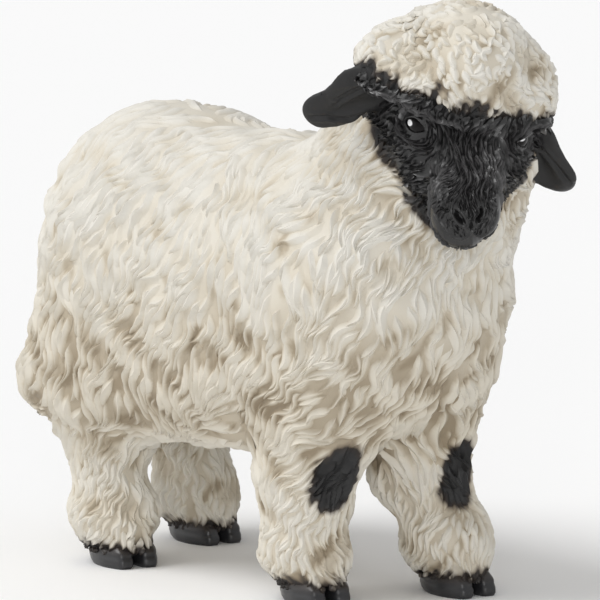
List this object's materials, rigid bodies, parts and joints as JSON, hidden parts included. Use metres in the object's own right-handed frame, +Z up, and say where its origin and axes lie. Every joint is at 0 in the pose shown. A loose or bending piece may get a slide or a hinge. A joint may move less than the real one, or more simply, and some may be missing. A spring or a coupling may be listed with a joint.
{
  "type": "toy sheep figurine",
  "caption": "Small moulded and painted toy figurine of a blacknose sheep with curly cream wool, a black face and ears and dark cloven hooves, standing with its head turned to its right.",
  "frame": {"origin": "on the ground, at the centre of the figure's bounding box seen from above", "axes": "+X forward along the body, +Y to the sheep's left, +Z up"},
  "size_m": [0.086, 0.0356, 0.0752],
  "materials": {
    "wool": "cream matt paint with a brown wash in the hollows of the moulded curls",
    "black_fur": "satin black paint, brown at its edges",
    "ear": "smooth satin black paint",
    "hoof": "semi-gloss dark grey to black paint",
    "eye": "gloss black with a painted white catchlight"
  },
  "bodies": {
    "root": {"ear_left": "ear", "ear_right": "ear", "eye_left": "eye", "eye_right": "eye", "forelock": "wool", "head": "black_fur", "hoof_front_left_inner": "hoof", "hoof_front_left_outer": "hoof", "hoof_front_right_inner": "hoof", "hoof_front_right_outer": "hoof", "hoof_rear_left_inner": "hoof", "hoof_rear_left_outer": "hoof", "hoof_rear_right_inner": "hoof", "hoof_rear_right_outer": "hoof", "leg_front_left_lower": "wool", "leg_front_left_upper": "wool", "leg_front_right_lower": "wool", "leg_front_right_upper": "wool", "leg_rear_left_lower": "wool", "leg_rear_left_upper": "wool", "leg_rear_right_lower": "wool", "leg_rear_right_upper": "wool", "muzzle": "black_fur", "neck": "wool", "tail": "wool", "trunk": "wool"}
  },
  "joints": []
}
